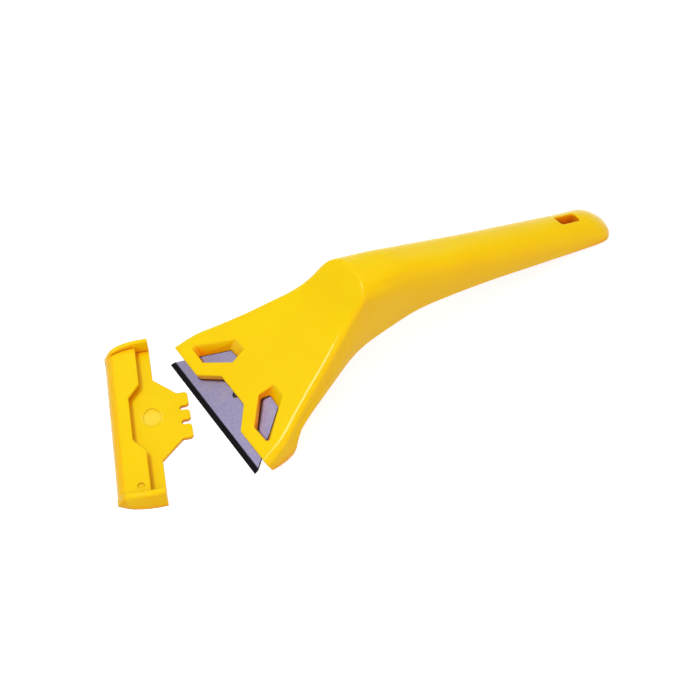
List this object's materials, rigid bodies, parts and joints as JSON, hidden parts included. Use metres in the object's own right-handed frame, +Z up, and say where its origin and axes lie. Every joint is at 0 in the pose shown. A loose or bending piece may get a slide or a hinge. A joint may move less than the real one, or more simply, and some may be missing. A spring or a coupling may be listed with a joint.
{
  "type": "window scraper",
  "caption": "Hand scraper for window glass: cranked moulded handle with a wide flat head that holds a trapezoid blade, and a loose push-on blade guard lying in front of the edge.",
  "frame": {"origin": "centre of the whole part's box, on the table that it lies on", "axes": "+X from the blade guard and blade towards the handle's end, +Y towards the far side, +Z up"},
  "size_m": [0.2358, 0.0824, 0.0408],
  "materials": {
    "handle_plastic": "smooth satin gloss, moulded",
    "blade_steel": "matt grey ground steel with a dark edge band",
    "guard_plastic": "smooth satin gloss, moulded"
  },
  "bodies": {
    "handle": {"handle": "handle_plastic"},
    "blade": {"blade": "blade_steel"},
    "guard": {"blade_guard": "guard_plastic"}
  },
  "joints": [
    {"name": "blade_slide", "type": "slide", "parent": "handle", "child": "blade", "axis": [-0.9026, 0, -0.4305], "range_m": [0, 0.0225]},
    {"name": "guard_slide", "type": "slide", "parent": "handle", "child": "guard", "axis": [-0.9272, 0.3746, 0], "range_m": [0, 0.025]}
  ]
}
